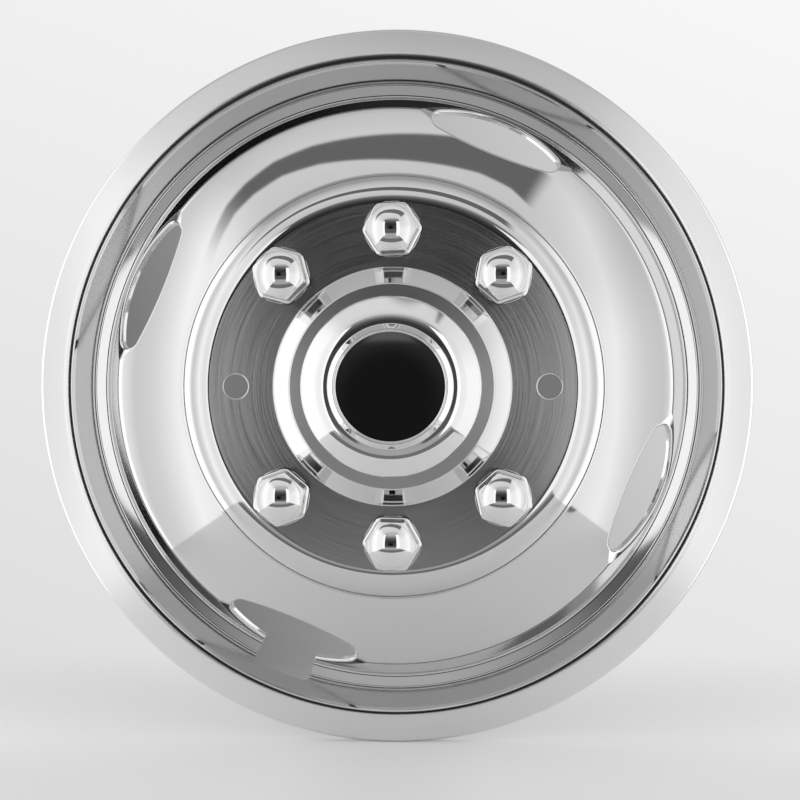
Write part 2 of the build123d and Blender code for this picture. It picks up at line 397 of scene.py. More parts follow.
def outline(grow, depth):
    """Points (x, y) and outward angles of a hole's outline, counter-clockwise from its right corner."""
    top = (0, hole_top - top_curve)
    foot = (0, hole_foot + foot_curve)
    top_end = atan2(corner_y - top[1], corner_x)
    foot_end = atan2(corner_y - foot[1], corner_x)
    cuts = [foot_angle(turn, grow, depth) for turn in notch_turns]
    arcs = [
        ((corner_x, corner_y), hole_corner, foot_end, top_end),
        (top, top_curve, top_end, pi - top_end),
        ((-corner_x, corner_y), hole_corner, pi - top_end, pi - foot_end),
        (foot, foot_curve, pi - foot_end, cuts[0]),
        (foot, foot_curve, *cuts),
        (foot, foot_curve, cuts[1], 2 * pi + foot_end),
    ]
    points = []
    for ((x, y), radius, first, last), count in zip(arcs, arc_counts):
        for k in range(count):
            angle = first + (last - first) * k / count
            points.append((x + (radius + grow) * cos(angle), y + (radius + grow) * sin(angle), angle))
    return points


print("Hole outline:", len(outline(0, 0)), "points; foot bow of radius", round(foot_curve, 2), "mm")

# %% [markdown]
# Along the top of a hole there is no flat land left, so the dome itself rolls into the lip. A Bevel
# modifier would stop at the pad's edge. The roll is the path of a ball under the sheet's face.
# Where the ball meets the dome before the pad, `rolls` keeps how deep its centre lies and where it
# touches.

# %% Where the dome rolls into the lip


def touch_of(x, y, depth):
    """How far a ball of the lip's radius is clear of the dome, and where it touches it."""
    out = pad_top_r - y * cos(pad_tilt) - depth * sin(pad_tilt)
    ball_h = pad_top_h + y * sin(pad_tilt) - depth * cos(pad_tilt)
    r = hypot(out, x)
    touch = r
    for _ in range(8):
        touch = r + lip_round * front_at(touch)[1]
    h, _, nh = front_at(touch)
    return h - lip_round * nh - ball_h, touch, atan2(x, out)


rolls = []
for x, y, facing in outline(lip_round, lip_round):
    depth = crossing(lambda d: touch_of(x, y, d)[0], 0, 8)
    is_rolled = sin(facing) > 0 and depth > lip_round
    rolls.append((depth, *touch_of(x, y, depth)[1:]) if is_rolled else None)
touches = sorted((turn, r) for _, r, turn in filter(None, rolls))
print("The dome rolls into", len(touches), "of the outline's points")
print("The roll ends", round(degrees(touches[-1][0]), 2), "degrees from a pad's middle")


def rolled_edge(turn):
    """The radius just inside the roll at an angle from a pad's middle, where the dome has one."""
    for (a, first), (b, last) in zip(touches, touches[1:]):
        if a <= turn <= b:
            return first + (last - first) * (turn - a) / (b - a) - 0.6
    return dome_edge_r

# %% [markdown]
# ## The liner's front face
#
# The round faces are a grid: columns run round the wheel and rows run outwards. A plain grid would
# cut across the pads and the notch in steps. So some columns are moved onto the tips of the pads
# and the sides of the notch.

# %% Columns
columns = [radians(k) for k in range(360)]
notch_middle = pad_middles[notch_pad]


def nearest_column(angle):
    """The column that lies closest to an angle."""
    return min(range(len(columns)), key=lambda k: abs(columns[k] - angle % (2 * pi)))


marks = [middle + side * tip_turn for middle in pad_middles for side in (-1, 1)]
marks += [notch_middle + turn for turn in notch_turns]
for mark in marks:
    columns[nearest_column(mark)] = mark % (2 * pi)
for away in (0.22, 0.5, 0.85):
    columns.append(notch_middle + notch_turns[0] + radians(away))
    columns.append(notch_middle + notch_turns[1] - radians(away))
columns.sort()


def pad_at(angle):
    """The pad that an angle crosses, the radii where it starts and ends, and whether it starts in a roll."""
    for pad, middle in enumerate(pad_middles):
        turn = (angle - middle + pi) % (2 * pi) - pi
        if abs(turn) < tip_turn - 1e-6:
            upper, lower = lens(turn)
            return pad, min(upper, rolled_edge(turn)), lower, rolled_edge(turn) < upper
    return None


crossed = [pad_at(angle) for angle in columns]
print(len(columns), "columns,", sum(map(bool, crossed)), "of them across a pad")

# %% [markdown]
# A straight run needs few rows, because its normals don't change, and a roll needs one for every
# few degrees. More rows lie on the wall and near the notch, where the grid is going to be bent.

# %% Rows
row_samples = trace(liner_corners, 5.0, 9)
rows = [sample[0] for sample in row_samples]
disc_in = next(r for r, h, _, _ in row_samples if abs(h) < 1e-6)
disc_out = max(r for r, h, _, _ in row_samples if h > -1e-6)
dome_rows = [r for r in rows if disc_out < r < shoulder_r - 1] + [shoulder_r - 0.5, shoulder_r]
wall_rows = [shoulder_r + 0.5 + 0.8 * k for k in range(13)]
notch_rows = [notch_r - away for away in (3.9, 2.6, 1.4, 0.5, 0.0)]
valley_rows = sorted([r for r in rows if r > shoulder_r + 1] + wall_rows + notch_rows)
print(len(dome_rows), "rows on the dome and", len(valley_rows), "outside its shoulder")

# %% [markdown]
# Near a pad the rows bend, so that one of them follows the pad's edge. The rows between are squeezed
# together or spread out, and further away they stay round. The notch's corners are rounded by
# moving the grid's points in.

# %% Bending the rows
dome_anchor = step_r + 8
valley_anchor = trough_r + 3


def squeezed(r, column):
    """A row's radius in a column, moved so that the shoulder's row follows the edge of a pad."""
    if not crossed[column]:
        return r
    _, upper, lower, _ = crossed[column]
    if dome_anchor < r <= shoulder_r:
        return dome_anchor + (r - dome_anchor) * (upper - dome_anchor) / (shoulder_r - dome_anchor)
    if shoulder_r < r < valley_anchor:
        return valley_anchor - (valley_anchor - r) * (valley_anchor - lower) / (valley_anchor - shoulder_r)
    return r


def round_off(away):
    """How far the notch's round corner stands in from a side, at a distance from the other side."""
    away = min(max(away, 0.0), notch_round)
    return notch_round - sqrt(notch_round**2 - (notch_round - away) ** 2)


def notched(r, angle):
    """A point of the valley, moved in where it is on the notch's round corners."""
    first, last = (notch_middle + turn for turn in notch_turns)
    if not first - 1e-6 < angle < last + 1e-6 or not notch_r - notch_round < r < notch_r + 1e-6:
        return r, angle
    inward = 1 if angle < notch_middle else -1
    aside = min(angle - first, last - angle) * notch_r
    if aside < 1e-3 and r > notch_r - 1e-6:
        corner = notch_round * (1 - sqrt(0.5))
        return r - corner, angle + inward * corner / notch_r
    if aside < 1e-3:
        return r, angle + inward * round_off(notch_r - r) / notch_r
    if r > notch_r - 1e-6:
        return r - round_off(aside), angle
    return r, angle


print("Rows bend between", round(dome_anchor, 1), "and", round(valley_anchor, 1), "mm from the axis")

# %% [markdown]
# Now the rows are laid and joined. At the edge of a pad a point's normal lies between the dome's
# and the pad's, so the crease has a soft glint, as a pressed edge has.

# %% Rows of the liner
skin = Skin()


def liner_vertex(r, angle, blend=None):
    h, nr, nh = front_at(r)
    normal = wheel_normal(nr, nh, angle)
    return skin.add(wheel_point(r, h, angle), normal + blend if blend else normal)


def liner_row(r):
    return [liner_vertex(*notched(squeezed(r, c), angle)) for c, angle in enumerate(columns)]


collar = [liner_row(r) for r in rows if r <= disc_in]
dome = [liner_row(r) for r in [disc_out] + dome_rows[:-1]]
upper_edge = []
lower_edge = []
for c, angle in enumerate(columns):
    if crossed[c]:
        pad, upper, lower, rolled = crossed[c]
        upper_edge.append(liner_vertex(upper, angle, None if rolled else pad_normal(pad)))
        lower_edge.append(liner_vertex(lower, angle, pad_normal(pad)))
    else:
        upper_edge.append(liner_vertex(shoulder_r, angle))
        lower_edge.append(upper_edge[-1])
valley = [liner_row(r) for r in valley_rows]
for inner, outer in zip(collar, collar[1:]):
    skin.strip(inner, outer)
for inner, outer in zip(dome, dome[1:] + [upper_edge]):
    skin.strip(inner, outer)
first_cut, last_cut = (nearest_column(notch_middle + turn) for turn in notch_turns)
notch_columns = range(first_cut, last_cut)
for r, inner, outer in zip(valley_rows, [lower_edge] + valley, valley):
    skin.strip(inner, outer, skip=notch_columns if r < notch_r + 1e-6 else ())
print("Revolved faces:", len(skin.faces))

# %% [markdown]
# The disc and the pads are flat, so they need no grid. They are filled with triangles between
# closed chains of points that the skin already has. A triangle whose middle lies in a hole is left
# out.

# %% Filling a flat


def is_inside(point, loop):
    """Whether a flat point lies inside a closed loop of flat points."""
    inside = False
    for a, b in zip(loop, loop[1:] + loop[:1]):
        if (a.y > point.y) != (b.y > point.y):
            if point.x < a.x + (point.y - a.y) * (b.x - a.x) / (b.y - a.y):
                inside = not inside
    return inside


def fill(skin, chains, holes, flatten, normal, level):
    """Triangles between closed chains of skin points, flat where they lie level. Holes stay open."""
    ids = list(dict.fromkeys(i for chain in chains for i in chain))
    place = {i: k for k, i in enumerate(ids)}
    flat = [flatten(skin.points[i]) for i in ids]
    edges = [(place[a], place[b]) for chain in chains for a, b in zip(chain, chain[1:] + chain[:1])]
    _, _, faces, origins, _, _ = delaunay_2d_cdt(flat, edges, [], 1, 1e-9)
    open_loops = [[flatten(skin.points[i]) for i in hole] for hole in holes]
    for face in faces:
        corners = [origins[k][0] for k in face]
        middle = sum((flat[k] for k in corners), Vector((0, 0))) / 3
        if any(is_inside(middle, loop) for loop in open_loops):
            continue
        heights = [(skin.points[ids[k]] - level).dot(normal) for k in corners]
        is_level = max(map(abs, heights)) < 0.02 * MM
        skin.face([ids[k] for k in corners], normal if is_level else None)


print("Flats to fill:", len(pad_middles), "pads and the disc")

# %% [markdown]
# The press turns a hole's edge in, which makes it stiff and safe to touch. The lip is a quarter
# round and a short wall. In the notched pad the lip and the pad stop at the notch's sides, and the
# fill runs round the opening in one chain.

# %% Lips and pads
lip_swings = [pi / 12 * k for k in range(7)]
lip_steps = [(lip_round * (1 - sin(a)), lip_round * (1 - cos(a)), a) for a in lip_swings]
lip_steps.append((0.0, lip_depth, pi / 2))


def flat_on_pad(pad):
    """A function that flattens points of a pad to (x, y) on it."""
    origin = pad_point(pad, 0, 0, 0)
    x_axis = pad_point(pad, 1000, 0, 0) - origin
    y_axis = pad_point(pad, 0, 1000, 0) - origin
    return lambda point: Vector(((point - origin).dot(x_axis), (point - origin).dot(y_axis)))


for pad in range(4):
    up = pad_normal(pad)
    angle = pad_middles[pad]
    round_axis = Vector((-sin(angle), 0, cos(angle)))
    slope_axis = pad_point(pad, 0, 1000, 0) - pad_point(pad, 0, 0, 0)
    lip = []
    for grow, depth, swing in lip_steps:
        row = []
        for k, (x, y, facing) in enumerate(outline(grow, depth)):
            outward = round_axis * cos(facing) + slope_axis * sin(facing)
            point = pad_point(pad, x, y, depth)
            normal = up * cos(swing) - outward * sin(swing)
            if rolls[k] and depth < lip_depth:
                ball_depth, touch, turn = rolls[k]
                start = wheel_normal(*front_at(touch)[1:], angle + turn)
                normal = start.slerp(-outward, swing / (pi / 2))
                x, y, _ = outline(lip_round, lip_round)[k]
                point = pad_point(pad, x, y, ball_depth) + normal * lip_round * MM
            row.append(skin.add(point, normal))
        lip.append(row)
    cut = range(*notch_ends) if pad == notch_pad else ()
    for outer, inner in zip(lip, lip[1:]):
        skin.strip(inner, outer, skip=cut)
    inside = [c for c in range(len(columns)) if crossed[c] and crossed[c][0] == pad]
    span = [inside[0] - 1] + inside + [(inside[-1] + 1) % len(columns)]
    upper = [upper_edge[c] for c in span]
    if pad == notch_pad:
        lower = [lower_edge[c] for c in inside if c <= first_cut]
        lower += [lip[0][k] for k in range(notch_ends[0], -1, -1)]
        lower += [lip[0][k] for k in range(len(lip[0]) - 1, notch_ends[1] - 1, -1)]
        lower += [lower_edge[c] for c in inside if c >= last_cut]
        chains, holes = [lower + upper[::-1]], []
    else:
        lower = [lower_edge[c] for c in inside]
        chains, holes = [lower + upper[::-1], lip[0]], [lip[0]]
    fill(skin, chains, holes, flat_on_pad(pad), up, pad_point(pad, 0, 0, 0))
print("Faces with pads and lips:", len(skin.faces))

# %% [markdown]
# The disc has eight places on its bolt circle. Two are holes for the wheel's own studs, with a soft
# pressed edge. The other six are cut for the covers' necks. With the disc filled, the skin is
# complete and gets its thickness.

# %% The bolt disc
disc_front = wheel_normal(0, 1, 0)
edge_round = 0.9
ring_points = 72
disc_holes = []
for k in range(8):
    centre = Vector((bolt_r * cos(pi / 4 * k), 0, bolt_r * sin(pi / 4 * k)))
    is_cover = k % 4 != 0
    radius = cover_hole_r if is_cover else mount_hole_r
    steps = [(0.0, 0.0)] if is_cover else [(edge_round, radians(14 * n)) for n in range(6)]
    rings = []
    for bend, swing in steps:
        ring = []
        for n in range(ring_points):
            turn = 2 * pi * n / ring_points
            out = Vector((cos(turn), 0, sin(turn)))
            point = centre + out * (radius + bend * (1 - sin(swing)))
            point.y = -sheet + bend * (1 - cos(swing))
            ring.append(skin.add(point * MM, disc_front * cos(swing) - out * sin(swing)))
        rings.append(ring)
    for outer, inner in zip(rings, rings[1:]):
        skin.strip(inner, outer)
    disc_holes.append(rings[0])
flat_rings = [collar[-1]] + disc_holes
chains = [dome[0]] + flat_rings
fill(skin, chains, flat_rings, lambda p: Vector((p.x, p.z)), disc_front, wheel_point(0, 0, 0))

liner = show(make_mesh("wheel_liner_sheet", thicken(skin, sheet)))

# %% [markdown]
# ## Hub cap
#
# The cap hides the end of the hub. It is one drawn blank: a dish, a raised ring, a crown and a
# straight wall. It is traced from its axis out to the flange behind the collar's ledge, in the same
# way as the liner. The flange lies along the ledge's slope, so the two touch all round.

# %% Hub cap
cap_sheet = 0.8
cap_play = 0.6
cap_flange = 6.0
cap_columns = 240
cap_r = bore[0] - cap_play
_, ledge_out, ledge_rise, _ = liner_runs[0]
ledge_fall = -ledge_rise / ledge_out
cap_seat_h = bore[1] + cap_play * ledge_fall - sheet * hypot(1, ledge_fall)
crown_foot_r = cap_r - 13.3
cap_crease_r = crown_foot_r - 6.6
cap_lip_r = cap_crease_r - 3.4
dish_lip_r = cap_lip_r - 0.8
dish_r = dish_lip_r - 0.5
dish_h = 32.0
dish_rise = 1.2
dish_half = dish_r / 2
cap_corners = [
    (0.0, dish_h, 0.0),
    (dish_half, dish_h, 0.8 * dish_half / tan(atan2(dish_rise, dish_half) / 2)),
    (dish_r, dish_h + dish_rise, 1.2),
    (dish_lip_r, 37.3, 0.5),
    (cap_lip_r, 37.3, 0.5),
    (cap_crease_r, 33.3, 1.0),
    (crown_foot_r, 32.7, 25.0),
    (cap_r, 26.5, 2.5),
    (cap_r, cap_seat_h, 0.4),
    (cap_r + cap_flange, cap_seat_h - cap_flange * ledge_fall, 0.0),
]
cap_skin = Skin()
cap_angles = [2 * pi * k / cap_columns for k in range(cap_columns)]
cap_rows = []
for r, h, nr, nh in trace(cap_corners, 2.5, 6):
    if r < 1e-6:
        centre = cap_skin.add(wheel_point(0, h, 0), wheel_normal(0, 1, 0))
        cap_rows.append([centre] * cap_columns)
    else:
        cap_rows.append([cap_skin.add(wheel_point(r, h, a), wheel_normal(nr, nh, a)) for a in cap_angles])
for inner, outer in zip(cap_rows, cap_rows[1:]):
    cap_skin.strip(inner, outer)
hub_cap = show(make_mesh("hub_cap_sheet", thicken(cap_skin, cap_sheet)))

# %% [markdown]
# ## Lug nut covers
#
# Each cover is a small drawn cup that hides a wheel nut. A six-sided cylinder with a Bevel modifier
# would be quick, but its corners and chamfers would be straight. The real chamfer is turned, so it
# scallops the hexagon's flats. So one cover is drawn column by column round a hexagon with round
# corners.

# %% Hexagon of a cover
cover_sheet = 0.7
cover_half = 16.5
cover_corner = 2.6
hex_reach = 1 / cos(radians(30))


def hexagon_radius(angle, half_width, corner):
    """Distance from the axis to a round-cornered hexagon that has a corner at angle 0."""
    aside = abs((angle + pi / 6) % (pi / 3) - pi / 6)
    centre = (half_width - corner) * hex_reach
    if aside < atan2(corner / 2, centre + corner / hex_reach):
        return centre * cos(aside) + sqrt(corner**2 - (centre * sin(aside)) ** 2)
    return half_width / cos(pi / 6 - aside)


def hexagon_columns():
    """Points round the hexagon with their outward angles: nine on each corner and five on each flat."""
    found = []
    centre = (cover_half - cover_corner) * hex_reach
    for k in range(6):
        middle = pi / 3 * k
        for step in range(-4, 5):
            facing = middle + pi / 24 * step
            x = centre * cos(middle) + cover_corner * cos(facing)
            z = centre * sin(middle) + cover_corner * sin(facing)
            found.append((x, z, facing))
        facing = middle + pi / 6
        half_flat = centre / 2
        for step in (-2, -1, 0, 1, 2):
            along = half_flat * step / 3
            x = cover_half * cos(facing) - along * sin(facing)
            z = cover_half * sin(facing) + along * cos(facing)
            found.append((x, z, facing))
    return found


print("A cover has", len(hexagon_columns()), "columns,", round(2 * cover_half, 1), "mm across its flats")

# %% [markdown]
# A column starts beside the top of the dome and runs over the chamfer, down the wall, round the
# foot and out over the flange. The flange is a very round hexagon. Each point again brings its
# normal.

# %% One column of a cover
chamfer_foot = 18.5
dome_foot = 21.1
dome_top = 26.6
cover_dome_r = cover_half - 0.7
dome_height = dome_top - dome_foot
ball_r = (cover_dome_r**2 + dome_height**2) / (2 * dome_height)
flange_half = 20.0
flange_corner = 16.0
flange_top = 1.3
flange_edge = 0.5
foot_round = 2.8


def cover_column(x, z, facing):
    """One line down a cover, from beside the top of the dome to the foot of the flange."""
    angle = atan2(z, x)
    reach = hypot(x, z)
    half_cap = atan2(cover_dome_r, ball_r - dome_height)
    chamfer_fall = (dome_foot - chamfer_foot) / (cover_half * hex_reach - cover_dome_r)
    lean = atan2(1, chamfer_fall)
    line = []
    for k in range(1, 15):
        swing = half_cap * min(k / 14, 0.985)
        line.append((ball_r * sin(swing), dome_top - ball_r + ball_r * cos(swing), sin(swing), cos(swing)))
    line.append((cover_dome_r, dome_foot, 0.85, 0.5))
    for share in (0.15, 0.5, 0.85):
        r = cover_dome_r + (reach - cover_dome_r) * share
        line.append((r, dome_foot - (r - cover_dome_r) * chamfer_fall, cos(lean), sin(lean)))
    points = [(wheel_point(r, h, angle), wheel_normal(nr, nh, angle)) for r, h, nr, nh in line]
    edge_h = dome_foot - (reach - cover_dome_r) * chamfer_fall
    out = Vector((cos(facing), 0, sin(facing)))
    wall_foot = flange_top + foot_round
    for h, rise in ((edge_h, 0.5), (edge_h - 0.4, 0.0), (edge_h * 0.6, 0.0), (wall_foot, 0.0)):
        points.append((Vector((x, -sheet - h, z)) * MM, out + Vector((0, -rise, 0))))
    for k in range(1, 6):
        swing = pi / 10 * k
        away = foot_round * (1 - cos(swing))
        h = wall_foot - foot_round * sin(swing)
        place = Vector((x, -sheet - h, z)) + out * away
        points.append((place * MM, out * cos(swing) + Vector((0, -sin(swing), 0))))
    flange_r = hexagon_radius(angle, flange_half, flange_corner)
    for k in range(5):
        swing = pi / 8 * k
        r = flange_r - flange_edge * (1 - sin(swing))
        h = flange_top - flange_edge * (1 - cos(swing))
        points.append((wheel_point(r, h, angle), wheel_normal(sin(swing), cos(swing), angle)))
    points.append((wheel_point(flange_r, 0.0, angle), wheel_normal(1, 0, angle)))
    return points


lines = [cover_column(*column) for column in hexagon_columns()]
print("Each column has", len(lines[0]), "points")

# %% [markdown]
# The neck goes through the disc and is rolled over behind it. It is a turned ring, so a lathe makes
# it. Together with the thickened skin it is one cover, still at the axis.

# %% One lug nut cover


def lathe(outline, count):
    """A closed ring from a flat-sided outline of (radius, height), listed clockwise."""
    points = []
    faces = []
    normals = []
    size = len(outline)
    for k in range(count):
        angle = 2 * pi * k / count
        points += [wheel_point(r, h, angle) for r, h in outline]
    for k in range(count):
        for i in range(size):
            j = (i + 1) % size
            across = (k + 1) % count
            face = (k * size + i, k * size + j, across * size + j, across * size + i)
            out = Vector(outline[j]) - Vector(outline[i])
            faces.append(face)
            ends = [2 * pi * k / count] * 2 + [2 * pi * (k + 1) / count] * 2
            normals.append([wheel_normal(-out.y, out.x, angle).normalized() for angle in ends])
    return points, faces, normals


cover_skin = Skin()
top = cover_skin.add(wheel_point(0, dome_top, 0), wheel_normal(0, 1, 0))
cover_rows = [[top] * len(lines)]
for level in range(len(lines[0])):
    cover_rows.append([cover_skin.add(*line[level]) for line in lines])
for inner, outer in zip(cover_rows, cover_rows[1:]):
    cover_skin.strip(inner, outer)
neck_in, neck_out, roll_out = 16.1, 16.8, 19.2
neck_top, roll_foot = 0.6, -sheet - cover_sheet
neck = [(neck_in, neck_top), (neck_out, neck_top), (neck_out, -sheet)]
neck += [(roll_out, -sheet), (roll_out, roll_foot), (neck_in, roll_foot)]
cover_form = show(make_mesh("lug_cover_form", thicken(cover_skin, cover_sheet), lathe(neck, ring_points)))

# %% [markdown]
# Six covers could be placed by hand, or with an Array on a circle. Geometry Nodes keeps the bolt
# circle as one number and each cover's turn as data, so both are easy to change. The tree's inputs
# are the points, the cover, the bolt circle's radius and the metal.

# %% Geometry Nodes: inputs
tree = bpy.data.node_groups.new("Covers on the bolt circle", "GeometryNodeTree")
inputs = {}
for label, kind in (
    ("Geometry", "NodeSocketGeometry"),
    ("Cover", "NodeSocketObject"),
    ("Bolt circle radius", "NodeSocketFloat"),
    ("Metal", "NodeSocketMaterial"),
):
    inputs[label] = tree.interface.new_socket(label, in_out="INPUT", socket_type=kind)
tree.interface.new_socket("Geometry", in_out="OUTPUT", socket_type="NodeSocketGeometry")
print("Inputs of the tree:", list(inputs))

# %% [markdown]
# The tree reads each stud's angle and the turn of its cover from the points it is given. It moves
# the points onto the circle and puts a cover on each. At the end the copies become real geometry,
# because the export drops instances. `node` makes a node and feeds its inputs, which keeps the
# trees short.

# %% Geometry Nodes: covers on the bolt circle


def node(tree, kind, feeds=None, **settings):
    """A new node with its settings. Its inputs are fed with values or with other nodes' outputs."""
    made = tree.nodes.new(kind)
    for name, value in settings.items():
        setattr(made, name, value)
    for label, value in (feeds or {}).items():
        if isinstance(value, bpy.types.NodeSocket):
            tree.links.new(value, made.inputs[label])
        else:
            made.inputs[label].default_value = value
    return made


def math(tree, operation, *values):
    """A math node; its inputs are outputs of other nodes or numbers."""
    return node(tree, "ShaderNodeMath", dict(enumerate(values)), operation=operation).outputs[0]


def combine(tree, x, y, z):
    """A vector from outputs of other nodes or numbers."""
    return node(tree, "ShaderNodeCombineXYZ", {"X": x, "Y": y, "Z": z}).outputs["Vector"]


def named(tree, name):
    """A float attribute of the geometry."""
    made = node(tree, "GeometryNodeInputNamedAttribute", {"Name": name}, data_type="FLOAT")
    return made.outputs["Attribute"]


given = node(tree, "NodeGroupInput").outputs
stud_angle = named(tree, "stud_angle")
across = math(tree, "MULTIPLY", math(tree, "COSINE", stud_angle), given["Bolt circle radius"])
upward = math(tree, "MULTIPLY", math(tree, "SINE", stud_angle), given["Bolt circle radius"])
placed = node(
    tree,
    "GeometryNodeSetPosition",
    {"Geometry": given["Geometry"], "Position": combine(tree, across, 0.0, upward)},
)
picked = node(tree, "GeometryNodeObjectInfo", {"Object": given["Cover"]})
turn = math(tree, "MULTIPLY", named(tree, "cover_turn"), -1.0)
spread = node(
    tree,
    "GeometryNodeInstanceOnPoints",
    {
        "Points": placed.outputs["Geometry"],
        "Instance": picked.outputs["Geometry"],
        "Rotation": combine(tree, 0.0, turn, 0.0),
    },
)
real = node(tree, "GeometryNodeRealizeInstances", {"Geometry": spread.outputs["Instances"]})
painted = node(
    tree, "GeometryNodeSetMaterial", {"Geometry": real.outputs["Geometry"], "Material": given["Metal"]}
)
node(tree, "NodeGroupOutput", {"Geometry": painted.outputs["Geometry"]})
print("The tree has", len(tree.nodes), "nodes")

# %% [markdown]
# Nobody lines up the nuts of a wheel, so each cover sits as its nut happens to. The points carry
# these turns in degrees. The result is turned into a plain mesh, and the points and the pattern are
# removed.

# %% Set the covers
stud_angles = (45, 90, 135, 225, 270, 315)
cover_turns = (19.0, 2.4, 45.0, 20.0, 58.5, 42.5)
mirror = bpy.data.materials.new("mirror_stainless")
studs = bpy.data.meshes.new("studs")
studs.from_pydata([(0, 0, 0)] * len(stud_angles), [], [])
for name, values in (("stud_angle", stud_angles), ("cover_turn", cover_turns)):
    attribute = studs.attributes.new(name, "FLOAT", "POINT")
    attribute.data.foreach_set("value", [radians(value) for value in values])
carrier = bpy.data.objects.new("studs", studs)
bpy.context.scene.collection.objects.link(carrier)
modifier = carrier.modifiers.new("Covers", "NODES")
modifier.node_group = tree
modifier[inputs["Cover"].identifier] = cover_form
modifier[inputs["Bolt circle radius"].identifier] = bolt_r * MM
modifier[inputs["Metal"].identifier] = mirror
evaluated = carrier.evaluated_get(bpy.context.evaluated_depsgraph_get())
covers_mesh = bpy.data.meshes.new_from_object(evaluated)
covers_mesh.name = "lug_covers_sheet"
bpy.data.objects.remove(carrier)
bpy.data.objects.remove(cover_form)
covers = show(covers_mesh)
print("Custom normals kept:", covers_mesh.has_custom_normals)

# %% [markdown]
# ## Metal
#
# The sheet has three finishes: mirror polish, a turned bolt disc and a satin rim band. Image
# textures could show them, but nodes on Object coordinates stay sharp from any distance and need no
# map. Three groups are shared: `wheel polar` measures from the axis, `lay` makes grain along or
# across it, and `ring zone` masks a ring.

# %% Shader groups


def group(name, inputs, outputs):
    """A shader node group with float inputs and outputs; returns it and what its inputs put out."""
    made = bpy.data.node_groups.new(name, "ShaderNodeTree")
    for label, value in inputs.items():
        socket = made.interface.new_socket(label, in_out="INPUT", socket_type="NodeSocketFloat")
        socket.default_value = value
    for label in outputs:
        made.interface.new_socket(label, in_out="OUTPUT", socket_type="NodeSocketFloat")
    return made, node(made, "NodeGroupInput").outputs


def use(tree, shared, *values):
    """A shared group in another tree, with its inputs set in their order."""
    return node(tree, "ShaderNodeGroup", dict(enumerate(values)), node_tree=shared).outputs


def object_place(tree):
    """The object's own X, Y and Z."""
    place = node(tree, "ShaderNodeTexCoord").outputs["Object"]
    return node(tree, "ShaderNodeSeparateXYZ", {0: place}).outputs


polar, _ = group("wheel polar", {}, ["Radius", "Across", "Up"])
place = object_place(polar)
squares = [math(polar, "POWER", place[axis], 2.0) for axis in ("X", "Z")]
radius = math(polar, "SQRT", math(polar, "ADD", *squares))
across = math(polar, "DIVIDE", place["X"], radius)
upward = math(polar, "DIVIDE", place["Z"], radius)
node(polar, "NodeGroupOutput", {"Radius": radius, "Across": across, "Up": upward})

lay, lay_in = group("lay", {"Lines per metre": 1500.0, "Lines per turn": 1.5}, ["Grain"])
on_wheel = use(lay, polar)
grain_at = combine(
    lay,
    math(lay, "MULTIPLY", on_wheel["Radius"], lay_in["Lines per metre"]),
    math(lay, "MULTIPLY", on_wheel["Across"], lay_in["Lines per turn"]),
    math(lay, "MULTIPLY", on_wheel["Up"], lay_in["Lines per turn"]),
)
noise = node(lay, "ShaderNodeTexNoise", {"Vector": grain_at, "Scale": 1.0, "Detail": 3.0, "Roughness": 0.6})
node(lay, "NodeGroupOutput", {"Grain": noise.outputs[0]})

zone, zone_in = group("ring zone", {"From": 0.087, "To": 0.138, "Soft": 0.002}, ["Share"])
radius = use(zone, polar)["Radius"]
past_start = math(zone, "SUBTRACT", radius, zone_in["From"])
before_end = math(zone, "SUBTRACT", zone_in["To"], radius)
nearer_edge = math(zone, "DIVIDE", math(zone, "MINIMUM", past_start, before_end), zone_in["Soft"])
share = node(zone, "ShaderNodeClamp", {"Value": nearer_edge})
node(zone, "NodeGroupOutput", {"Share": share.outputs[0]})
print("Shader groups:", [made.name for made in (polar, lay, zone)])

# %% [markdown]
# The cap and the covers are plain mirrors. On the liner, three rings depart from the polish: the
# satin rim band, the lip and the collar's ledge. Separate materials would leave a hard line, so
# masks with soft edges change one material. Each ring has its span in metres, what it adds to the
# roughness, and what it adds to the grey. Only the band has a grain that can be seen.

# %% Polished metal
polish = 0.05
sheet_grey = 0.74
ring_finishes = {
    "band": ((0.2255, 0.2370, 0.0010), 0.16, -0.14),
    "lip": ((0.2385, 0.3000, 0.0060), 0.20, 0.11),
    "ledge": ((0.0600, 0.0735, 0.0015), 0.20, 0.0),
}


def stainless(material, grey):
    """Mirror polish of an even grey; returns the nodes and the shader's inputs."""
    material.use_nodes = True
    shader = material.node_tree.nodes["Principled BSDF"].inputs
    shader["Metallic"].default_value = 1.0
    shader["Base Color"].default_value = (grey, grey, grey * 0.994, 1)
    shader["Roughness"].default_value = polish
    return material.node_tree, shader


def bumped(nodes, shader, height, depth):
    """Grain as fine relief, with its depth in metres."""
    relief = node(nodes, "ShaderNodeBump", {"Distance": depth, "Height": height})
    nodes.links.new(relief.outputs["Normal"], shader["Normal"])


stainless(mirror, 0.86)
metal = bpy.data.materials.new("polished_stainless")
nodes, shader = stainless(metal, sheet_grey)
roughness, grey = polish, sheet_grey
shares = {}
for ring, (span, more_rough, more_grey) in ring_finishes.items():
    shares[ring] = use(nodes, zone, *span)["Share"]
    roughness = math(nodes, "MULTIPLY_ADD", shares[ring], more_rough, roughness)
    grey = math(nodes, "MULTIPLY_ADD", shares[ring], more_grey, grey)
nodes.links.new(roughness, shader["Roughness"])
nodes.links.new(combine(nodes, grey, grey, grey), shader["Base Color"])
band_grain = math(nodes, "MULTIPLY", shares["band"], use(nodes, lay, 8.0, 230.0)["Grain"])
bumped(nodes, shader, band_grain, 0.00001)
print("Rings with a finish of their own:", list(ring_finishes))

# %% [markdown]
# The disc is turned on a lathe. Its fine round grooves scatter light along the radius. Grooves that
# fine can't be modelled, so the shader's anisotropy does it, with a tangent that points outwards.
# Only the disc's front faces have this finish, and its border is a real edge, so this is a material
# of its own.

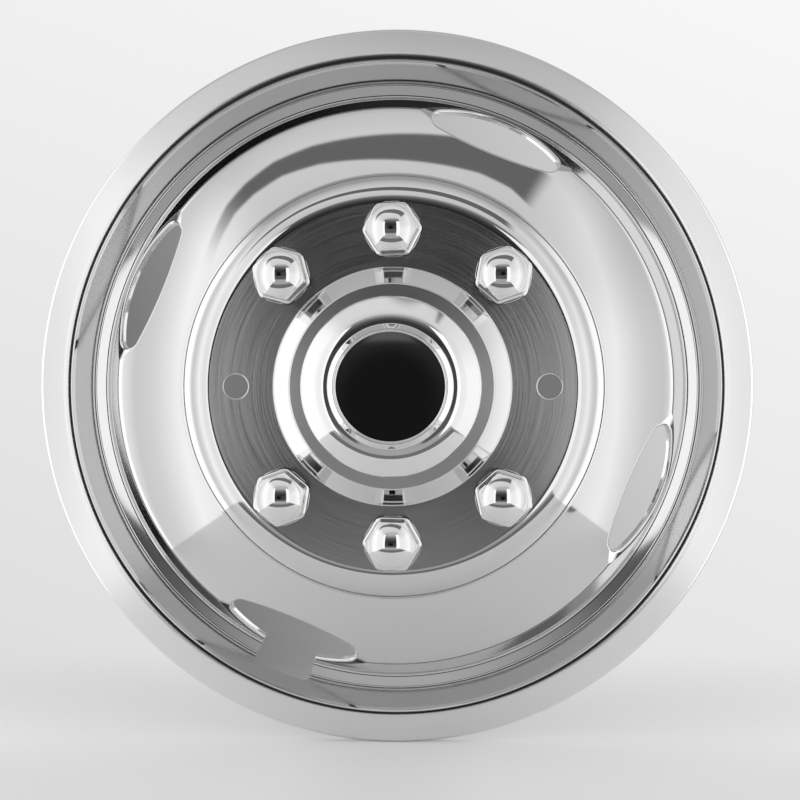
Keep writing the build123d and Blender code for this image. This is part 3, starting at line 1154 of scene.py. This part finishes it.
# %% Turned metal
turned_metal = bpy.data.materials.new("turned_stainless")
nodes, shader = stainless(turned_metal, sheet_grey)
shader["Anisotropic"].default_value = 0.9
grooves = use(nodes, lay, 1500.0, 1.5)["Grain"]


def map_range(tree, value, first, last, to_first=0.0, to_last=1.0, kind="SMOOTHSTEP"):
    """A value taken from one range to another."""
    feeds = {"Value": value, "From Min": first, "From Max": last, "To Min": to_first, "To Max": to_last}
    return node(tree, "ShaderNodeMapRange", feeds, interpolation_type=kind).outputs["Result"]


nodes.links.new(map_range(nodes, grooves, 0.3, 0.7, 0.16, 0.22), shader["Roughness"])
place = object_place(nodes)
nodes.links.new(combine(nodes, place["X"], 0.0, place["Z"]), shader["Tangent"])
bumped(nodes, shader, grooves, 0.000004)

for material in (metal, turned_metal):
    liner.data.materials.append(material)
hub_cap.data.materials.append(mirror)
turned_faces = 0
for polygon in liner.data.polygons:
    from_axis = hypot(polygon.center.x, polygon.center.z) / MM
    if disc_in - 0.5 < from_axis < disc_out + 0.5 and polygon.normal.y < -0.99:
        polygon.material_index = 1
        turned_faces += 1
print("Turned finish on", turned_faces, "faces of the disc")

# %% [markdown]
# ## The tent
#
# Polished metal has no look of its own: it shows what stands round it. Lamps would show as hot
# spots. So the wheel stands in a tent, as for a product photograph: white cloth on both sides, pale
# cloth above, a pale floor, and a dark room in front where the camera stands. The cloths light the
# metal and show in it. The camera sees only the backdrop.

# %% Tent
floor_z = -outer_r * MM
half = 0.37
front_y = -0.75
back_y = 0.25
path = [(half, floor_z), (half, 0.40), (0.345, 0.47), (0.29, 0.535), (0.20, 0.56)]
path += [(-0.20, 0.53), (-0.29, 0.50), (-0.345, 0.44), (-half, 0.38), (-half, floor_z)]


def strip_mesh(name, points):
    """A mesh of one strip of faces; its points come in pairs."""
    faces = [(2 * k, 2 * k + 1, 2 * k + 3, 2 * k + 2) for k in range(len(points) // 2 - 1)]
    mesh = bpy.data.meshes.new(name)
    mesh.from_pydata(points, [], faces)
    return mesh


tent_mesh = strip_mesh("tent", [(x, y, z) for x, z in path for y in (front_y, back_y)])
tent = show(tent_mesh)
tent.visible_camera = False

# %% [markdown]
# The cloth's glow is worked out from the angle round the wheel and from the depth, so that one mesh
# has all its tones. `at_angle` gives soft steps round the wheel, and `by_depth` follows a curve
# from the front to the back.

# %% Tones of the cloth


def bare_material(name):
    """A new material without nodes, and its tree."""
    made = bpy.data.materials.new(name)
    made.use_nodes = True
    made.node_tree.nodes.clear()
    return made, made.node_tree


tent_cloth, cloth_nodes = bare_material("tent_cloth")
tent_mesh.materials.append(tent_cloth)
cloth_math = partial(math, cloth_nodes)
cloth_range = partial(map_range, cloth_nodes)
place = object_place(cloth_nodes)
depth = place["Y"]
full_turn = 2 * pi
turn_start = full_turn + pi / 2
angle = cloth_math("ADD", cloth_math("ARCTAN2", place["Z"], place["X"]), turn_start)
angle = cloth_math("MODULO", angle, full_turn)


def product(*values):
    """Tones multiplied with each other."""
    return reduce(partial(cloth_math, "MULTIPLY"), values)


def at_angle(first, last, *tones):
    """A soft step between two angles, from +X towards +Z."""
    return cloth_range(angle, radians(first + 90), radians(last + 90), *tones)


def by_depth(*stops):
    """A tone that follows the depth: stops are (y, tone) from the front to the back."""
    curve_start, brightest = 0.8, 2.0
    shifted = cloth_math("ADD", depth, curve_start)
    made = node(cloth_nodes, "ShaderNodeFloatCurve", {"Value": shifted})
    curve = made.mapping.curves[0]
    while len(curve.points) < len(stops):
        curve.points.new(0.5, 0.5)
    for point, (y, tone) in zip(curve.points, stops):
        point.location = (y + curve_start, tone / brightest)
        point.handle_type = "VECTOR"
    made.mapping.update()
    return cloth_math("MULTIPLY", made.outputs[0], brightest)


side_stops = [(-0.8, 0.97), (-0.42, 0.97), (-0.24, 1.14), (-0.13, 0.82)]
side_stops += [(-0.08, 0.75), (-0.05, 1.0), (-0.03, 1.3), (0.2, 1.45)]
top_stops = [(-0.8, 0.66), (-0.25, 0.82), (-0.08, 0.64), (0.02, 0.42), (0.2, 0.40)]
print("Tones at the wheel: sides", dict(side_stops)[-0.05], "and top", dict(top_stops)[-0.08])

# %% [markdown]
# The sides are brightest beside the wheel, and the top is dimmer. A dark bar hangs across the top
# and leans to one side: it is the dark bow that the dome shows.

# %% Cloth of the tent
on_left = at_angle(126, 146)
on_right = at_angle(60, 36)
on_top = cloth_math("SUBTRACT", 1.0, cloth_math("ADD", on_left, on_right))
side_light = by_depth(*side_stops)
right_light = product(side_light, on_right, at_angle(8, 36, 1.0, 0.85))
left_light = product(side_light, 1.05, on_left)
top_light = product(by_depth(*top_stops), on_top)
light = cloth_math("ADD", cloth_math("ADD", right_light, left_light), top_light)

bar_tone = 0.16
bar_lean = at_angle(50, 140, 0.0, 0.19, "LINEAR")
bar_front = cloth_range(cloth_math("SUBTRACT", depth, bar_lean), -0.495, -0.475)
bar_back = cloth_range(depth, -0.235, -0.255)
bar = product(bar_front, bar_back, at_angle(53, 58), at_angle(150, 128))
light = cloth_math("MULTIPLY_ADD", cloth_math("SUBTRACT", bar_tone, light), bar, light)
glow = node(cloth_nodes, "ShaderNodeEmission", {"Strength": light})
node(cloth_nodes, "ShaderNodeOutputMaterial", {"Surface": glow.outputs[0]})
print("The cloth uses", len(cloth_nodes.nodes), "nodes")

# %% [markdown]
# Two flaps close the tent in front, beside the camera. The floor is pale up to a table's edge in
# front of the wheel, and the table beyond it is darker. All of them are flat cards that only the
# metal sees: the paper below lies on the floor.

# %% Flaps, floor and table
flap_top = 0.40
floor_half = 3.0


def greys(tone):
    return (tone, tone, tone, 1)


def cloth(name, tone):
    """Cloth that glows evenly, lit from behind."""
    made, nodes = bare_material(name)
    even_glow = node(nodes, "ShaderNodeEmission", {"Color": greys(tone)})
    node(nodes, "ShaderNodeOutputMaterial", {"Surface": even_glow.outputs[0]})
    return made


def card(name, corners, material):
    """A flat piece of the stage that only the metal sees, with four corners in metres."""
    mesh = bpy.data.meshes.new(name)
    mesh.from_pydata(corners, [], [(0, 1, 2, 3)])
    mesh.materials.append(material)
    thing = show(mesh)
    thing.visible_camera = False


def floor_card(name, front, back, material):
    ends = [(-floor_half, front), (floor_half, front), (floor_half, back), (-floor_half, back)]
    card(name, [(x, y, floor_z) for x, y in ends], material)


for name, edge, wall in (("flap_left", -0.29, -half), ("flap_right", 0.215, half)):
    ends = [(wall, floor_z), (edge, floor_z), (edge, flap_top), (wall, flap_top)]
    card(name, [(x, front_y, z) for x, z in ends], cloth(name, 1.2))
floor_material = bpy.data.materials.new("floor")
floor_material.use_nodes = True
floor_shader = floor_material.node_tree.nodes["Principled BSDF"].inputs
floor_shader["Base Color"].default_value = greys(0.86)
floor_shader["Roughness"].default_value = 0.6
floor_card("floor", -0.35, 0.3, floor_material)
for name, front, back, tone in (
    ("table_near", -0.55, -0.35, 0.17),
    ("table_mid", -1.2, -0.55, 0.40),
    ("table_far", -3.0, -1.2, 0.10),
):
    floor_card(name, front, back, cloth(name, tone))

# %% [markdown]
# The backdrop is one sheet of paper, on the floor and swept up behind the wheel, so that no corner
# shows. Only the camera sees it, so it doesn't change the light.

# %% Backdrop
paper_y = 0.15
paper_half = 2.5
sweep = 0.12
paper_z = floor_z + 0.0006
swings = [pi / 24 * k for k in range(13)]
bend = [(-1.39, paper_z)]
bend += [(paper_y - sweep + sweep * sin(a), paper_z + sweep - sweep * cos(a)) for a in swings]
bend.append((paper_y, 2.0))
paper_mesh = strip_mesh("backdrop", [(x, y, z) for y, z in bend for x in (-paper_half, paper_half)])
paper_mesh.shade_smooth()
backdrop = show(paper_mesh)
for rays_seen in ("visible_glossy", "visible_diffuse", "visible_transmission", "visible_shadow"):
    setattr(backdrop, rays_seen, False)

# %% [markdown]
# The paper glows with a soft fall-off instead of being lit, which keeps its tone apart from the
# metal's light: the fall-off is painted light, lighter towards the top and the right. Near the floor
# it turns into plain paper that takes the wheel's shadow. Behind the wheel a painted shade darkens
# it, darkest round the axis, and this painted shade shows in the holes. From behind it can be seen through.

# %% Paper
paper_material, paper_nodes = bare_material("backdrop_paper")
paper_mesh.materials.append(paper_material)
paper_math = partial(math, paper_nodes)
paper_range = partial(map_range, paper_nodes)
place = object_place(paper_nodes)
from_axis = use(paper_nodes, polar)["Radius"]


def blend(share, first, second):
    """A tone between two others."""
    feeds = {"Factor": share, "A": first, "B": second}
    return node(paper_nodes, "ShaderNodeMix", feeds, data_type="FLOAT").outputs["Result"]


# painted fall-off of the open paper: lighter towards the top and the right
open_tone = paper_range(place["Z"], -0.30, 0.30, 0.74, 0.90, "LINEAR")
open_tone = paper_math("MULTIPLY_ADD", place["X"], 0.10, open_tone)
# painted shade of the wheel on the paper: darkest round the axis, lighter towards the right and the top; it
# shows in the holes
painted_shade_tone = paper_math("MULTIPLY_ADD", place["X"], 1.03, 0.40)
painted_shade_tone = paper_math("MULTIPLY_ADD", place["Z"], 0.33, painted_shade_tone)
painted_shade_tone = blend(paper_range(from_axis, 0.13, 0.17), 0.18, painted_shade_tone)
tone = blend(paper_range(from_axis, 0.240, 0.275), painted_shade_tone, open_tone)
glow = node(paper_nodes, "ShaderNodeEmission", {"Strength": tone})
upright = combine(paper_nodes, 0.0, 0.0, 1.0)
shade = node(paper_nodes, "ShaderNodeBsdfDiffuse", {"Color": greys(0.88), "Normal": upright})
glow_share = paper_range(place["Z"], floor_z, floor_z + 0.06, 0.40, 1.0)
front = node(paper_nodes, "ShaderNodeMixShader", {"Fac": glow_share, 1: shade.outputs[0], 2: glow.outputs[0]})
clear = node(paper_nodes, "ShaderNodeBsdfTransparent")
from_back = node(paper_nodes, "ShaderNodeNewGeometry").outputs["Backfacing"]
seen = node(paper_nodes, "ShaderNodeMixShader", {"Fac": from_back, 1: front.outputs[0], 2: clear.outputs[0]})
node(paper_nodes, "ShaderNodeOutputMaterial", {"Surface": seen.outputs[0]})
print("The paper uses", len(paper_nodes.nodes), "nodes")

# %% [markdown]
# The world is what lies outside the tent. In front there is a dim room with a dark place where the
# camera stands, a grey floor below and a pale wall above. Behind the wheel it is as pale as the
# paper in shade. Where the camera looks past the paper, it sees the paper's tones again.

# %% World
world = bpy.context.scene.world or bpy.data.worlds.new("tent_room")
bpy.context.scene.world = world
world.use_nodes = True
sky = world.node_tree
sky.nodes.clear()
sky_math = partial(math, sky)
sky_range = partial(map_range, sky)
heading = node(sky, "ShaderNodeTexCoord").outputs["Generated"]
direction = node(sky, "ShaderNodeSeparateXYZ", {0: heading}).outputs
elevation = sky_math("ARCSINE", direction["Z"])


def ramp(*stops):
    """Grey tones by elevation: stops are (degrees, tone) from below to above."""
    share = sky_math("MULTIPLY_ADD", elevation, 1 / pi, 0.5)
    made = node(sky, "ShaderNodeValToRGB", {0: share})
    elements = made.color_ramp.elements
    while len(elements) < len(stops):
        elements.new(0.5)
    for element, (degree, tone) in zip(elements, stops):
        element.position = (degree + 90) / 180
        element.color = greys(tone)
    return made.outputs[0]


def mix(share, first, second):
    """Colours mixed by a share."""
    return node(sky, "ShaderNodeMix", {"Factor": share, 6: first, 7: second}, data_type="RGBA").outputs[2]


dark_place = Vector((sin(radians(-2.5)), -1.0, sin(radians(1.5)))).normalized()
toward = node(sky, "ShaderNodeVectorMath", {0: heading, 1: dark_place}, operation="DOT_PRODUCT")
apart = sky_math("ARCCOSINE", toward.outputs["Value"])
dim = sky_range(apart, radians(4.0), radians(12.0), 0.008, 0.06)
above_floor = sky_range(elevation, radians(-5.3), radians(-4.9))
below_wall = sky_range(elevation, radians(8.0), radians(6.5))
room_below = [(-90, 0.20), (-10, 0.20), (-4, 0.08), (8, 0.03)]
room_above = [(14, 0.05), (22, 0.14), (32, 0.5), (90, 0.65)]
room = mix(sky_math("MULTIPLY", above_floor, below_wall), ramp(*room_below, *room_above), dim)
behind = sky_math("GREATER_THAN", direction["Y"], 0.0)
around = mix(behind, room, greys(0.55))
paper = ramp((-90, 0.7), (-10, 0.76), (0, 0.80), (12, 0.90), (90, 0.95))
is_camera = node(sky, "ShaderNodeLightPath").outputs["Is Camera Ray"]
background = node(sky, "ShaderNodeBackground", {"Color": mix(is_camera, around, paper)})
node(sky, "ShaderNodeOutputWorld", {"Surface": background.outputs[0]})
print("World uses", len(sky.nodes), "nodes")

# %% [markdown]
# ## Camera and hand-over
#
# The camera stands a little to the right of the axis, as in the photograph, with a long lens.

# %% Camera
camera_data = bpy.data.cameras.new("camera")
camera_data.lens = 88.06
camera_data.sensor_width = 36.0
camera = bpy.data.objects.new("camera", camera_data)
camera.location = (0.061, -1.40, 0.004)
camera.rotation_euler = (radians(90 - 0.56), 0, radians(2.27))
bpy.context.scene.collection.objects.link(camera)
bpy.context.scene.camera = camera
bpy.context.scene.view_settings.view_transform = "Standard"
print("The camera is", round(camera.location.length, 3), "m from the wheel")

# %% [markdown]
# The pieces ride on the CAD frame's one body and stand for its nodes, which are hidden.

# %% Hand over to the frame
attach(liner, "root")
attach(hub_cap, "root")
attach(covers, "root")
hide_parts("wheel_liner")
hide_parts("hub_cap")
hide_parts(*[f"lug_cover_{n}" for n in range(1, 7)])
